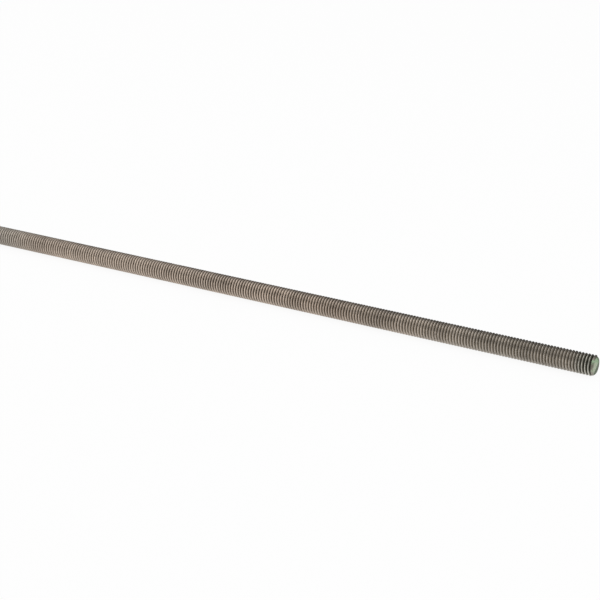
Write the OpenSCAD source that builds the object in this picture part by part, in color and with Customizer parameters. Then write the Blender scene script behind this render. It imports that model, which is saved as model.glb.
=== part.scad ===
// Threaded rod, threaded over its whole length, with both ends chamfered.
// The solid is the rod's envelope: the cylinder through the crests of the thread, 13 turns to the
// inch on a 1/2 inch rod, with the true end chamfers. It lies along X, and its axis is Z = 0.
// The origin is the centre of the plain end's face, and the colour-marked end is at +X.

/* [Thread] */
// Nominal size of the thread, which names the nuts that fit it
thread_d = 12.7; // [8:0.05:40]
// Turns of thread in one inch of rod
turns_per_inch = 13; // [8:1:28]
// How much less than the nominal size the crests measure, so that a nut runs freely
crest_allowance = 0.04; // [0:0.01:0.3]

/* [Rod] */
// Length over the two end faces
rod_l = 914.4; // [100:0.1:1830]

/* [Ends] */
// Slope of each end's chamfer, measured from the rod's axis
chamfer_angle = 45; // [20:1:60]
// How far each end face's rim stays inside the root of the thread, so that a nut starts easily
rim_under_root = 0.05; // [0:0.05:0.4]

/* [Hidden] */

// One inch, in the millimetres of this file
inch = 25.4;
// Distance from one crest to the next
thread_pitch = inch / turns_per_inch;
// Height of the sharp 60 degree triangle that the thread is cut from
sharp_height = thread_pitch * sqrt(3) / 2;
// Crests are cut back by an eighth of that height, and roots are rounded off at a sixth of it
thread_depth = sharp_height * (1 - 1 / 8 - 1 / 6);

crest_r = (thread_d - crest_allowance) / 2;
root_r = crest_r - thread_depth;
rim_r = root_r - rim_under_root;
chamfer_l = (crest_r - rim_r) / tan(chamfer_angle);

// Facets of the round in a preview
round_facets = 96;

// Half of the rod's lengthwise section: X is the distance from the axis, Y the place along it
module half_section() {
    polygon([
        [0, 0],
        [rim_r, 0],
        [crest_r, chamfer_l],
        [crest_r, rod_l - chamfer_l],
        [rim_r, rod_l],
        [0, rod_l]
    ]);
}

// The bar: the half section turned about the rod's axis, and laid along X
module rod() {
    color([0.51, 0.47, 0.42])
        rotate([0, 90, 0])
            rotate_extrude($fn = round_facets)
                half_section();
}

rod();
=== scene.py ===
"""The looks of a threaded rod: a steel bar, threaded from end to end, with paint on one end."""

import math

import bpy
import numpy as np
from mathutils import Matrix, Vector


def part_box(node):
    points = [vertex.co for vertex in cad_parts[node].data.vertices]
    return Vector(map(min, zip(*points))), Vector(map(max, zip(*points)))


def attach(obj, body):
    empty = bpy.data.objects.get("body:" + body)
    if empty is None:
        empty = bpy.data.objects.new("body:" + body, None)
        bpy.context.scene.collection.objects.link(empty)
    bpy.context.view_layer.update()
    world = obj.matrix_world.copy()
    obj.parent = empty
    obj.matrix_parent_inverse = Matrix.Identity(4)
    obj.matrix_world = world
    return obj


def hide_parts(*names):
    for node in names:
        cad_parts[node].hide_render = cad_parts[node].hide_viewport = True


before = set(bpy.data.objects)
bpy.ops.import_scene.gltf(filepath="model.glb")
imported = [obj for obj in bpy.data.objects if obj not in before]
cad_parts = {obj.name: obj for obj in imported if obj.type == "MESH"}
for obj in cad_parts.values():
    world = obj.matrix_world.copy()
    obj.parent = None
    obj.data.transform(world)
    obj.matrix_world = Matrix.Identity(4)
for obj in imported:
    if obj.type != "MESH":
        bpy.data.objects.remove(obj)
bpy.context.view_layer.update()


# ---- The bar --------------------------------------------------------------------------------
# A stainless steel bar with a right-hand thread rolled over its whole length, 13 turns to the
# inch. The profile is the 60 degree one: narrow flat crests, straight flanks and rounded roots.
# It is made as the thread is: one turn's profile, carried along the bar by a screw motion.

low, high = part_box("rod")
bar_start = low.x
bar_end = high.x
bar_middle = (bar_start + bar_end) / 2
crest_r = min(high.y - low.y, high.z - low.z) / 2

# The standard form is a sharp triangle, cut back flat at the crest and rounded at the root.
inch = 0.0254
turns_per_inch = 13
pitch = inch / turns_per_inch
flank_angle = math.radians(60)
flank_steepness = math.sqrt(3)
sharp_height = pitch * flank_steepness / 2
crest_flat_share = 1 / 8
root_round_share = 0.1443
depth_share = 17 / 24
crest_flat = pitch * crest_flat_share
root_round = pitch * root_round_share
root_r = crest_r - sharp_height * depth_share
bed_angle = math.radians(20)

# The thread is made longer than the bar. Its first crest inside the plain end starts, at the
# top, at this share of a turn from the face.
spare_turns = 2
first_crest = 0.34
thread_start = bar_start - (spare_turns - first_crest) * pitch
turns = round((bar_end - bar_start) / pitch) + 2 * spare_turns
steps_per_turn = 34
weld_gap = pitch / 1000
smooth_angle = math.radians(50)


def pick(piece):
    """Only this piece is selected and active."""
    bpy.ops.object.select_all(action="DESELECT")
    piece.select_set(True)
    bpy.context.view_layer.objects.active = piece


def start_editing(piece):
    """The piece is open in edit mode, with all of it selected."""
    pick(piece)
    bpy.ops.object.mode_set(mode="EDIT")
    bpy.ops.mesh.select_all(action="SELECT")


def apply(piece, kind, **settings):
    """One modifier of that kind is put on the piece and applied."""
    pick(piece)
    modifier = piece.modifiers.new(kind.lower(), kind)
    for name, value in settings.items():
        setattr(modifier, name, value)
    bpy.ops.object.modifier_apply(modifier=modifier.name)


def thread_profile():
    """The steps along and out from the axis that draw one turn: crest, flank, root, flank."""
    arc_half = root_round * math.sin(flank_angle)
    flank_run = (pitch - crest_flat) / 2 - arc_half
    flank_drop = flank_run * flank_steepness
    bed_half = root_round * math.sin(bed_angle)
    bed_drop = root_round * (math.cos(bed_angle) - math.cos(flank_angle))
    return [
        (crest_flat, 0),
        (flank_run, -flank_drop),
        (arc_half - bed_half, -bed_drop),
        (2 * bed_half, 0),
        (arc_half - bed_half, bed_drop),
        (flank_run, flank_drop),
    ]


bpy.ops.object.select_all(action="DESELECT")
bpy.ops.mesh.primitive_plane_add(size=pitch)
bar = bpy.context.object
bar.name = "threaded_bar"
start_editing(bar)
bpy.ops.mesh.merge(type="CENTER")
bpy.ops.transform.translate(value=(thread_start, 0, crest_r))
for run, rise in thread_profile():
    bpy.ops.mesh.extrude_vertices_move(TRANSFORM_OT_translate={"value": (run, 0, rise)})
bpy.ops.object.mode_set(mode="OBJECT")

apply(
    bar,
    "SCREW",
    axis="X",
    angle=2 * math.pi,
    screw_offset=pitch,
    iterations=turns,
    steps=steps_per_turn,
    render_steps=steps_per_turn,
)
start_editing(bar)
bpy.ops.mesh.remove_doubles(threshold=weld_gap)
for cut_at, waste in (
    (bar_start - pitch / 2, {"clear_inner": True}),
    (bar_end + pitch / 2, {"clear_outer": True}),
):
    bpy.ops.mesh.select_all(action="SELECT")
    bpy.ops.mesh.bisect(
        plane_co=(cut_at, 0, 0), plane_no=(1, 0, 0), use_fill=True, threshold=weld_gap, **waste
    )
bpy.ops.mesh.select_all(action="SELECT")
bpy.ops.mesh.normals_make_consistent(inside=False)
bpy.ops.object.mode_set(mode="OBJECT")

# Both ends are faced off and turned to a 45 degree chamfer that runs out just inside the roots.
# The thread is kept where it lies in a blank with such ends, a little thicker than the bar.
chamfer_slope = math.tan(math.radians(45))
rim_under_root = 0.00005
blank_oversize = 1.04
blank_sides = 3 * steps_per_turn
square_on = 0.9
rim_r = root_r - rim_under_root
blank_r = crest_r * blank_oversize
cone_l = (blank_r - rim_r) / chamfer_slope


def select_end(piece, side):
    """Only the flat end that faces that side is selected."""
    for parts in (piece.data.edges, piece.data.vertices):
        for part in parts:
            part.select = False
    for face in piece.data.polygons:
        face.select = face.normal.x * side > square_on
        if face.select:
            for index in face.vertices:
                piece.data.vertices[index].select = True


bpy.ops.object.select_all(action="DESELECT")
bpy.ops.mesh.primitive_cylinder_add(
    vertices=blank_sides,
    radius=blank_r,
    depth=bar_end - bar_start - 2 * cone_l,
    location=(bar_middle, 0, 0),
    rotation=(0, math.pi / 2, 0),
)
blank = bpy.context.object
bpy.ops.object.transform_apply(location=True, rotation=True, scale=True)
for side in (-1, 1):
    select_end(blank, side)
    pick(blank)
    bpy.ops.object.mode_set(mode="EDIT")
    bpy.ops.mesh.select_mode(type="FACE")
    bpy.ops.mesh.extrude_region_move(TRANSFORM_OT_translate={"value": (side * cone_l, 0, 0)})
    bpy.ops.transform.resize(value=(1, rim_r / blank_r, rim_r / blank_r))
    bpy.ops.mesh.select_mode(type="VERT")
    bpy.ops.object.mode_set(mode="OBJECT")
apply(bar, "BOOLEAN", operation="INTERSECT", object=blank, solver="MANIFOLD")
bpy.data.objects.remove(blank)
pick(bar)
bpy.ops.object.shade_smooth_by_angle(angle=smooth_angle)

# For the baked finish the bar is unrolled, angle up and length across, in five strips one above
# the other. The two flat ends lie side by side over the strips.
strips = 5
cap_share = 0.1
strip_gap = 0.006
end_margin = 0.001
angle_margin = 0.12
cap_margin = 1.02
plain_cap_at = 0.5
marked_cap_at = 1.5
flat_end = 0.99
mesh = bar.data


def read_all(items, name, kind, width):
    """One property of every item, as a table with a row for each."""
    found = np.empty(len(items) * width, kind)
    items.foreach_get(name, found)
    return found.reshape(-1, width)


corner_counts = read_all(mesh.polygons, "loop_total", np.int32, 1)[:, 0]
corners = read_all(mesh.loops, "vertex_index", np.int32, 1)[:, 0]
spots = read_all(mesh.vertices, "co", np.float32, 3)[corners]
centres = np.repeat(read_all(mesh.polygons, "center", np.float32, 3), corner_counts, axis=0)
normals = np.repeat(read_all(mesh.polygons, "normal", np.float32, 3), corner_counts, axis=0)
strip_l = (bar_end - bar_start) / strips
strip = np.clip((centres[:, 0] - bar_start) // strip_l, 0, strips - 1)
across = (spots[:, 0] - bar_start - strip * strip_l + end_margin) / (strip_l + 2 * end_margin)
centre_angle = np.arctan2(centres[:, 2], centres[:, 1])
turned = np.arctan2(spots[:, 2], spots[:, 1]) - centre_angle
turned = (turned + math.pi) % (2 * math.pi) - math.pi
up_strip = (centre_angle + turned + math.pi + angle_margin) / (2 * (math.pi + angle_margin))
strip_share = (1 - cap_share) / strips
up_map = (strip + up_strip) * strip_share - (up_strip - 0.5) * strip_gap
capped = np.abs(normals[:, 0]) > flat_end
cap_scale = (cap_share - strip_gap) / (2 * rim_r * cap_margin)
cap_at = np.where(normals[:, 0] > 0, marked_cap_at, plain_cap_at)
cap_across = cap_at * cap_share + spots[:, 1] * cap_scale
cap_up = 1 - cap_share / 2 + spots[:, 2] * cap_scale
unrolled = np.stack(
    [np.where(capped, cap_across, across), np.where(capped, cap_up, up_map)], axis=1
)
layer = mesh.uv_layers.new(name="OFBake")
layer.uv.foreach_set("vector", unrolled.astype(np.float32).ravel())

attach(bar, "root")
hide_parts("rod")

# The steel: bright where nuts and handling rub the crests, dull on the flanks, and brown with
# old oil and dust in the roots, which are also darkened with painted shade. The distance from
# the axis tells them apart.
crest_colour = (0.61, 0.552, 0.50, 1)
flank_colour = (0.49, 0.438, 0.382, 1)
root_colour = (0.124, 0.103, 0.079, 1)
end_oil_colour = (0.028, 0.027, 0.017, 1)
oil_tint = (1.045, 0.983, 0.935, 1)
clean_tint = (0.985, 1.0, 0.99, 1)
end_tint = (1.0, 1.08, 1.07, 1)
sawn_light = (0.50, 0.465, 0.41, 1)
sawn_dark = (0.20, 0.175, 0.14, 1)
bump_strength = 0.5
bump_depth = 0.00002
saw_stroke_size = (1, 0.12, 1)
line_drift = (120, 120, 120)

# How far off an end's flat face, and off its cone, a point may lie and still be on it.
flat_reach = (0.00001, 0.00003)
cone_reach = (0.00004, 0.00008)

# Where the finish changes along the bar: each change starts and ends this far behind the
# marked end.
end_oil_span = (0.014, 0.005)
older_span = (0.42, 0.12)
thin_oil_span = (0.435, 0.395)
oil_film_span = (0.17, 0.11)
highlight_shade_rise_span = (0.42, 0.28)
highlight_shade_fall_span = (0.24, 0.14)
highlight_shade_fade_span = (0.14, 0.03)
high_front_shade_span = (0.07, 0.035)
high_front_shade_stop_span = (0.009, 0.004)
high_front_side = (0, -0.64, 0.77)


def new_node(tree, kind, inputs=(), **settings):
    """A node of that kind, with its settings, and its inputs as links or plain values."""
    node = tree.nodes.new(kind)
    for name, value in settings.items():
        setattr(node, name, value)
    for name, value in dict(inputs).items():
        if isinstance(value, bpy.types.NodeSocket):
            tree.links.new(value, node.inputs[name])
        else:
            node.inputs[name].default_value = value
    return node


def sum_of(tree, operation, *values):
    """The result of one Math node."""
    inputs = dict(enumerate(values))
    return new_node(tree, "ShaderNodeMath", inputs, operation=operation).outputs[0]


def product(tree, first, second):
    """Two values multiplied."""
    return sum_of(tree, "MULTIPLY", first, second)


def weighted(tree, value, weight, rest):
    """A value times its weight, on top of the rest."""
    return sum_of(tree, "MULTIPLY_ADD", value, weight, rest)


def left_by(tree, share):
    """What a share leaves over."""
    return sum_of(tree, "SUBTRACT", 1.0, share)


def about_zero(tree, clouds):
    """Noise from 0 to 1, moved so that its middle is at zero."""
    return sum_of(tree, "SUBTRACT", clouds, 0.5)


def rescaled(tree, value, low, high, to_low=0.0, to_high=1.0):
    """A value taken from one range to another, and held inside it."""
    ends = {"From Min": low, "From Max": high, "To Min": to_low, "To Max": to_high}
    return new_node(tree, "ShaderNodeMapRange", {"Value": value, **ends}).outputs[0]


def behind_end(tree, along, span, at_far=0.0, at_close=1.0):
    """A value that changes along the bar, between two places behind the marked end."""
    far, close = span
    return rescaled(tree, along, bar_end - far, bar_end - close, at_far, at_close)


def blended(tree, share, first, second, blend_type="MIX"):
    """Two colours mixed by a share."""
    inputs = {0: share, 6: first, 7: second}
    mix = new_node(tree, "ShaderNodeMix", inputs, data_type="RGBA", blend_type=blend_type)
    return mix.outputs[2]


def vector_sum(tree, operation, *values):
    """One Vector Math node's two results: a vector, and a plain number."""
    inputs = dict(enumerate(values))
    return new_node(tree, "ShaderNodeVectorMath", inputs, operation=operation).outputs


def near(tree, place, spot):
    """The distance from a spot."""
    return vector_sum(tree, "DISTANCE", place, spot)[1]


def toward(tree, place, way):
    """How far a place lies in one direction from the axis."""
    return vector_sum(tree, "DOT_PRODUCT", place, way)[1]


def noise(tree, place, scale, detail=2.0, roughness=0.5):
    """Cloudy noise from 0 to 1 at a place."""
    settings = {"Vector": place, "Scale": scale, "Detail": detail, "Roughness": roughness}
    return new_node(tree, "ShaderNodeTexNoise", settings).outputs[0]


def saw_marks_at(tree, place):
    """The fine strokes that a saw leaves across an end."""
    stretched = new_node(tree, "ShaderNodeMapping", {"Vector": place, "Scale": saw_stroke_size})
    return noise(tree, stretched.outputs[0], scale=3200, detail=5, roughness=0.75)


def cut_places(tree, depth, radius):
    """Where an end's flat face and its chamfer are, from the depth behind the face."""
    flat = rescaled(tree, depth, *flat_reach, 1.0, 0.0)
    off_cone = sum_of(tree, "SUBTRACT", sum_of(tree, "SUBTRACT", radius, rim_r), depth)
    cone = rescaled(tree, sum_of(tree, "ABSOLUTE", off_cone), *cone_reach, 1.0, 0.0)
    return flat, cone


def place_on_bar(tree):
    """A point's place, its parts along, back and up, and its distance from the axis."""
    place = new_node(tree, "ShaderNodeTexCoord").outputs["Object"]
    along, side, up = new_node(tree, "ShaderNodeSeparateXYZ", {0: place}).outputs
    across = vector_sum(tree, "MULTIPLY", place, (0, 1, 1))[0]
    return place, along, side, up, vector_sum(tree, "LENGTH", across)[1]


def rolling_lines_at(tree, place, along, angle, height):
    """The lines that the rolling dies leave, which run round with the thread."""
    # The place in the turn is laid on a circle, so that the lines close from turn to turn.
    turn = product(tree, along, 2 * math.pi / pitch)
    turn = sum_of(tree, "SUBTRACT", turn, angle)
    ring_across = sum_of(tree, "COSINE", turn)
    ring_up = sum_of(tree, "SINE", turn)
    ring = new_node(tree, "ShaderNodeCombineXYZ", {0: ring_across, 1: ring_up, 2: height})
    drift = vector_sum(tree, "MULTIPLY", place, line_drift)[0]
    lines_at = vector_sum(tree, "ADD", ring.outputs[0], drift)[0]
    return noise(tree, lines_at, scale=2.2, detail=4, roughness=0.75)


def steel_look(tree, place, along, side, up, radius):
    """The steel's colour, roughness and bump height, from the place on the thread."""
    height = rescaled(tree, radius, root_r, crest_r)
    angle = sum_of(tree, "ARCTAN2", product(tree, side, -1.0), up)
    lines = rolling_lines_at(tree, place, along, angle, height)
    film = noise(tree, place, scale=7)
    stains = noise(tree, place, scale=38, detail=4, roughness=0.55)
    patches = noise(tree, place, scale=190, detail=3, roughness=0.6)
    specks = noise(tree, place, scale=1400, detail=2, roughness=0.6)
    spot_cells = new_node(tree, "ShaderNodeTexVoronoi", {"Vector": place, "Scale": 420.0})
    spots = rescaled(tree, spot_cells.outputs["Distance"], 0.12, 0.3, 1.0, 0.0)
    spots = product(tree, spots, rescaled(tree, patches, 0.5, 0.6))

    # Dirt and painted shade lie in the roots, higher up the flanks far from the marked end and
    # in its last turns, and rubbing has bared the crests. Both have ragged edges.
    ragged = weighted(tree, about_zero(tree, specks), 0.25, height)
    ragged = weighted(tree, about_zero(tree, patches), 0.2, ragged)
    end_oil = behind_end(tree, along, end_oil_span)
    older = behind_end(tree, along, older_span, 1.0, 0.0)
    dirt_and_shade_top = weighted(tree, older, 0.22, 0.55)
    dirt_and_shade_top = weighted(tree, end_oil, 0.25, dirt_and_shade_top)
    dirt_and_shade_bed = weighted(tree, end_oil, 0.25, 0.12)
    dirt_and_shade = rescaled(tree, ragged, dirt_and_shade_bed, dirt_and_shade_top, 1.0, 0.0)
    rubbed = rescaled(tree, ragged, 0.72, 0.98)
    colour = blended(tree, rubbed, flank_colour, crest_colour)
    grime_and_shade = blended(tree, end_oil, root_colour, end_oil_colour)
    colour = blended(tree, product(tree, dirt_and_shade, 0.92), colour, grime_and_shade)

    # Stains, patches, rolling lines and dark spots shade it, and from the middle of the bar to
    # the plain end the film of oil is thinner and the steel a little duller.
    thin_oil = behind_end(tree, along, thin_oil_span, 1.0, 0.0)
    tone = rescaled(tree, stains, 0.3, 0.7, 0.84, 1.12)
    tone = product(tree, tone, weighted(tree, older, 0.01, 1.05))
    tone = product(tree, tone, rescaled(tree, patches, 0.25, 0.75, 0.83, 1.14))
    tone = product(tree, tone, rescaled(tree, lines, 0.3, 0.7, 0.86, 1.1))
    tone = product(tree, tone, rescaled(tree, spots, 0.0, 1.0, 1.0, 0.6))
    tone = product(tree, tone, weighted(tree, thin_oil, -0.1, 1.0))

    # Painted highlight on the crests and painted shade in the roots: the two stand apart most a
    # quarter of a metre behind the marked end, and least close behind it.
    highlight_and_shade = behind_end(tree, along, highlight_shade_rise_span)
    highlight_and_shade = product(tree, highlight_and_shade, behind_end(tree, along, highlight_shade_fall_span, 1.0, 0.0))
    highlight_and_shade = weighted(tree, behind_end(tree, along, highlight_shade_fade_span), -0.6, highlight_and_shade)
    highlight_and_shade = product(tree, highlight_and_shade, left_by(tree, end_oil))
    highlight_and_shade = product(tree, highlight_and_shade, sum_of(tree, "SUBTRACT", ragged, 0.7))
    tone = product(tree, tone, weighted(tree, highlight_and_shade, 0.6, 1.0))

    # High on the front, behind the marked end, the steel is darker: painted shade that dims the
    # highlight there.
    high_front_shade = sum_of(tree, "DIVIDE", toward(tree, place, high_front_side), radius)
    high_front_shade = weighted(tree, about_zero(tree, patches), 0.3, high_front_shade)
    high_front_shade = rescaled(tree, high_front_shade, 0.9, 1.0)
    high_front_shade = product(tree, high_front_shade, behind_end(tree, along, high_front_shade_span))
    high_front_shade = product(tree, high_front_shade, behind_end(tree, along, high_front_shade_stop_span, 1.0, 0.3))
    tone = product(tree, tone, rescaled(tree, high_front_shade, 0.0, 1.0, 1.0, 0.84))
    shade = new_node(tree, "ShaderNodeCombineColor", {0: tone, 1: tone, 2: tone}).outputs[0]
    colour = blended(tree, 1.0, colour, shade, "MULTIPLY")

    # The oil is brown where its film is thick, and greener in the marked end's last turns.
    oiled = behind_end(tree, along, oil_film_span, 0.3, -0.15)
    oiled = weighted(tree, thin_oil, -0.4, oiled)
    oiled = rescaled(tree, sum_of(tree, "ADD", film, oiled), 0.35, 0.75)
    tint = blended(tree, end_oil, blended(tree, oiled, clean_tint, oil_tint), end_tint)
    colour = blended(tree, 1.0, colour, tint, "MULTIPLY")

    # The plain end is as the saw left it: bare metal, a little darkened in the strokes.
    flat, cone = cut_places(tree, sum_of(tree, "SUBTRACT", along, bar_start), radius)
    sawn = sum_of(tree, "MAXIMUM", flat, cone)
    strokes = saw_marks_at(tree, place)
    sawn_colour = blended(tree, rescaled(tree, strokes, 0.35, 0.7), sawn_light, sawn_dark)
    stained = rescaled(tree, stains, 0.45, 0.65, 0.0, 0.5)
    sawn_colour = blended(tree, stained, sawn_colour, sawn_dark)
    colour = blended(tree, product(tree, sawn, 0.9), colour, sawn_colour)
    dirt_and_shade = product(tree, dirt_and_shade, left_by(tree, sawn))

    rough = rescaled(tree, patches, 0.3, 0.7, 0.34, 0.46)
    rough = weighted(tree, about_zero(tree, lines), 0.2, rough)
    rough = weighted(tree, dirt_and_shade, 0.2, rough)
    rough = weighted(tree, rubbed, -0.08, rough)
    rough = weighted(tree, spots, 0.15, rough)
    bump = weighted(tree, patches, 0.4, specks)
    bump = weighted(tree, lines, 1.2, bump)
    bump = weighted(tree, spots, -0.5, bump)
    bump = weighted(tree, product(tree, strokes, sawn), 1.2, bump)
    return colour, rough, bump


def new_finish(name):
    """A new material, with its node tree and its shader."""
    finish = bpy.data.materials.new(name)
    finish.use_nodes = True
    return finish, finish.node_tree, finish.node_tree.nodes["Principled BSDF"]


def feed(tree, shader, colour, rough, height):
    """The shader takes its colour, its roughness and its bump from these."""
    settings = {"Height": height, "Strength": bump_strength, "Distance": bump_depth}
    bump = new_node(tree, "ShaderNodeBump", settings)
    tree.links.new(colour, shader.inputs["Base Color"])
    tree.links.new(rough, shader.inputs["Roughness"])
    tree.links.new(bump.outputs[0], shader.inputs["Normal"])


steel, tree, shader = new_finish("steel")
shader.inputs["Metallic"].default_value = 1
feed(tree, shader, *steel_look(tree, *place_on_bar(tree)))

# One end is dabbed with green marking paint. It lies thin over the saw marks of the flat face,
# worn through in places, and is rubbed down to a dull film or to bare steel on the chamfer.
paint_colour = (0.31, 0.45, 0.28, 1)
sheen_paint = (0.42, 0.455, 0.345, 1)
worn_paint = (0.15, 0.165, 0.115, 1)
darker_back_paint = (0.085, 0.105, 0.065, 1)
olive_paint = (0.27, 0.30, 0.19, 1)
bare_chamfer = (0.44, 0.41, 0.35, 1)
oily_chamfer = (0.15, 0.145, 0.115, 1)
paint_reach = 0.0024
paint_thinning = -260.0
paint_high_front = (0, -0.77, 0.64)
oily_front = (0, -0.94, 0.34)
dirty_low_back = (0, 0.6, -0.8)
drip_spot = (bar_end, -0.0052, -0.0012)
sheen_spot = (bar_end, -0.0022, 0.0003)
lower_sheen_spot = (bar_end, -0.0034, -0.0020)
handled_spot = (bar_end, -0.0050, 0.0020)

paint, tree, shader = new_finish("painted_end")
place, along, side, up, radius = place_on_bar(tree)
colour, rough, height = steel_look(tree, place, along, side, up, radius)
clouds = noise(tree, place, scale=260)
streaks = noise(tree, place, scale=520, detail=3, roughness=0.6)
flakes = noise(tree, place, scale=1800, detail=4, roughness=0.65)
fray = about_zero(tree, flakes)
saw_marks = saw_marks_at(tree, place)

# On the flat face the paint is whole but for a few worn streaks.
depth = sum_of(tree, "SUBTRACT", bar_end, along)
flat, cone = cut_places(tree, depth, radius)
wear = rescaled(tree, weighted(tree, flakes, 0.35, streaks), 0.74, 0.9)
flat = product(tree, flat, rescaled(tree, wear, 0.0, 1.0, 1.0, 0.6))

# On the chamfer it holds high on the front and in a drip lower down, and thins out from there
# and away from the rim. The rest is bare steel, oily on the front.
facing = sum_of(tree, "DIVIDE", toward(tree, place, paint_high_front), radius)
hold = rescaled(tree, facing, 0.94, 0.985, -0.4, 0.35)
hold = weighted(tree, depth, paint_thinning, hold)
drip = near(tree, place, drip_spot)
hold = sum_of(tree, "MAXIMUM", hold, rescaled(tree, drip, 0.0005, 0.0012, 0.3, -0.4))
hold = sum_of(tree, "ADD", weighted(tree, fray, 0.6, streaks), hold)
chamfer = product(tree, cone, rescaled(tree, hold, 0.37, 0.48, 0.0, 0.95))
oily = rescaled(tree, toward(tree, place, oily_front), 0.0048, 0.0058)
raw = blended(tree, oily, bare_chamfer, oily_chamfer)
scraped = sum_of(tree, "MAXIMUM", cone, rescaled(tree, depth, 0.0003, 0.0012, 0.8, 0.0))
colour = blended(tree, product(tree, scraped, 0.8), colour, raw)
covered = sum_of(tree, "MAXIMUM", flat, chamfer)

# The dab went on from above: strong in colour there, paler in the middle and low down, where
# a painted sheen of the white table lies on it. It is dulled by handling towards the front, and
# is darker over the strip that lies low at the back and along its back rim.
# Painted sheen: the paint turns paler round these two spots.
sheen = weighted(tree, clouds, 0.004, near(tree, place, sheen_spot))
sheen = weighted(tree, fray, 0.003, sheen)
green = blended(tree, rescaled(tree, sheen, 0.0037, 0.0051), sheen_paint, paint_colour)
sheen = weighted(tree, clouds, 0.003, near(tree, place, lower_sheen_spot))
green = blended(tree, rescaled(tree, sheen, 0.0026, 0.0042), sheen_paint, green)
dull = weighted(tree, streaks, 0.004, near(tree, place, handled_spot))
dull = weighted(tree, fray, 0.003, dull)
green = blended(tree, rescaled(tree, dull, 0.0030, 0.0044, 0.85, 0.0), green, worn_paint)
green = blended(tree, rescaled(tree, drip, 0.0003, 0.0008, 0.9, 0.0), green, olive_paint)
# The paint is darker low at the back and along the back rim of the face.
low_back = weighted(tree, streaks, 0.001, toward(tree, place, dirty_low_back))
low_back = weighted(tree, fray, 0.003, low_back)
low_back = rescaled(tree, low_back, 0.0015, 0.0022)
back_rim = rescaled(tree, radius, 0.0034, 0.0042)
back_rim = product(tree, back_rim, rescaled(tree, side, 0.0, 0.0016))
low_back = sum_of(tree, "MAXIMUM", low_back, product(tree, back_rim, 0.8))
green = blended(tree, product(tree, low_back, 0.9), green, darker_back_paint)
green = blended(tree, rescaled(tree, streaks, 0.5, 0.75, 0.0, 0.5), green, worn_paint)
green = blended(tree, rescaled(tree, saw_marks, 0.35, 0.75, 0.0, 0.3), green, worn_paint)

paint_rough = rescaled(tree, flakes, 0.3, 0.7, 0.42, 0.6)
paint_rough = weighted(tree, low_back, 0.25, paint_rough)
rough = weighted(tree, sum_of(tree, "SUBTRACT", paint_rough, rough), covered, rough)
height = weighted(tree, saw_marks, 1.2, height)
feed(tree, shader, blended(tree, covered, colour, green), rough, height)
tree.links.new(left_by(tree, covered), shader.inputs["Metallic"])

bar.data.materials.clear()
bar.data.materials.append(steel)
bar.data.materials.append(paint)
for face in bar.data.polygons:
    if face.center.x > bar_end - paint_reach:
        face.material_index = 1


# ---- The set --------------------------------------------------------------------------------
# A plain white table under the rod, soft boxes above it and a white room round it. The table
# and the room show a plain white of their own, to the camera and in the steel.

table_size = 20
table_colour = (0.85, 0.85, 0.85, 1)
table_seen = 0.92
table_mirrored = 0.52
room_colour = (0.75, 0.75, 0.75, 1)
room_low = 1.1
room_high = 0.47
room_rise = (0.2, 0.5)


def dull_finish(name, colour):
    """A matt material of one colour."""
    finish, tree, shader = new_finish(name)
    shader.inputs["Base Color"].default_value = colour
    shader.inputs["Roughness"].default_value = 1
    shader.inputs["Specular IOR Level"].default_value = 0
    return finish, tree, shader


bpy.ops.object.select_all(action="DESELECT")
bpy.ops.mesh.primitive_plane_add(size=table_size, location=(bar_middle, 0, low.z))
table = bpy.context.object
table.name = "table"
white, tree, shader = dull_finish("white_table", table_colour)
path = new_node(tree, "ShaderNodeLightPath").outputs
seen = product(tree, path["Is Camera Ray"], table_seen)
mirrored = product(tree, path["Is Glossy Ray"], table_mirrored)
share = sum_of(tree, "MAXIMUM", seen, mirrored)
glow = new_node(tree, "ShaderNodeEmission").outputs[0]
mix = new_node(tree, "ShaderNodeMixShader", {0: share, 1: shader.outputs[0], 2: glow})
tree.links.new(mix.outputs[0], tree.nodes["Material Output"].inputs["Surface"])
table.data.materials.append(white)

world = bpy.data.worlds.new("room")
bpy.context.scene.world = world
world.use_nodes = True
tree = world.node_tree
room = tree.nodes["Background"]
room.inputs["Color"].default_value = room_colour
way = new_node(tree, "ShaderNodeTexCoord").outputs["Generated"]
rise = new_node(tree, "ShaderNodeSeparateXYZ", {0: way}).outputs[2]
walls = rescaled(tree, rise, *room_rise, room_low, room_high)
seen_room = new_node(tree, "ShaderNodeBackground", {"Color": walls}).outputs[0]
path = new_node(tree, "ShaderNodeLightPath").outputs
direct = sum_of(tree, "MAXIMUM", path["Is Camera Ray"], path["Is Glossy Ray"])
mix = new_node(tree, "ShaderNodeMixShader", {0: direct, 1: room.outputs[0], 2: seen_room})
tree.links.new(mix.outputs[0], tree.nodes["World Output"].inputs["Surface"])


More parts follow.
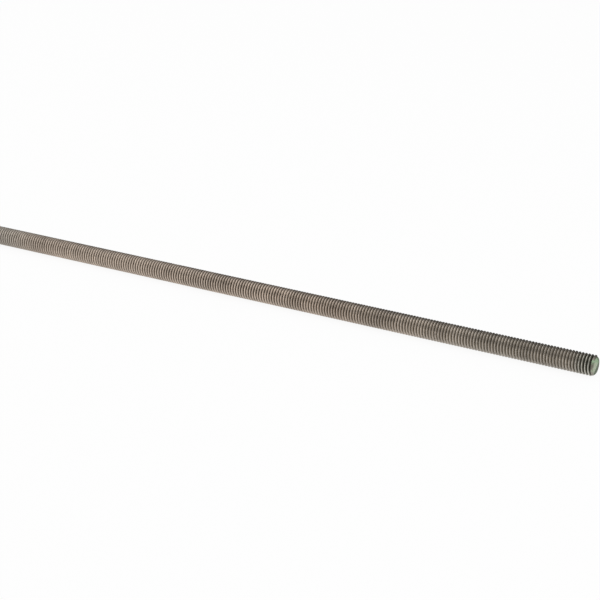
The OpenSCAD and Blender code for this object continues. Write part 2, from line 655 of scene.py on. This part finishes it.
def soft_box(name, offset, aim_offset, size, power):
    """A square soft light, placed and aimed by offsets from the middle of the bar."""
    place = Vector((bar_middle, 0, 0)) + Vector(offset)
    aim = Vector((bar_middle, 0, 0)) + Vector(aim_offset)
    lamp = bpy.data.lights.new(name, "AREA")
    lamp.energy = power
    lamp.size = size
    holder = bpy.data.objects.new(name, lamp)
    bpy.context.scene.collection.objects.link(holder)
    holder.location = place
    holder.rotation_euler = (aim - place).to_track_quat("-Z", "Y").to_euler()


soft_box("overhead", (-0.5, 0.15, 1.4), (-0.3, 0, 0), size=1.4, power=5)
soft_box("right", (1.6, -0.3, 1.3), (0.4, 0, 0), size=1.0, power=7.2)

# A low dark card stands close behind the rod, nearest at the marked end. Only the steel's
# reflections show it: it draws the dark line along the rod's upper edge.
card_gap = 0.066
card_rise = 0.012
card_turn = -0.078
card_l = 1.3
card_h = 0.036
card_colour = (0.12, 0.12, 0.12, 1)
bpy.ops.object.select_all(action="DESELECT")
bpy.ops.mesh.primitive_plane_add(
    size=1, location=(bar_middle, card_gap, card_rise), rotation=(math.pi / 2, 0, card_turn)
)
card = bpy.context.object
card.name = "dark_card"
card.scale = (card_l, card_h, 1)
bpy.ops.object.transform_apply(location=True, rotation=True, scale=True)
card.visible_camera = False
card.visible_diffuse = False
card.visible_shadow = False
card.data.materials.append(dull_finish("dark_card", card_colour)[0])

# The camera stands to the right of the painted end, in front and above, with a long lens.
lens_mm = 97.73
sensor_mm = 36
camera_place = (bar_end + 0.3008, -0.8220, 0.3726)
camera_aim = (bar_end - 0.19895, 0, 0.0007)
camera_data = bpy.data.cameras.new("camera")
camera_data.sensor_width = sensor_mm
camera_data.lens = lens_mm
camera = bpy.data.objects.new("camera", camera_data)
bpy.context.scene.collection.objects.link(camera)
camera.location = camera_place
looking = Vector(camera_aim) - Vector(camera_place)
camera.rotation_euler = looking.to_track_quat("-Z", "Y").to_euler()
bpy.context.scene.camera = camera

bpy.context.scene.view_settings.view_transform = "Standard"
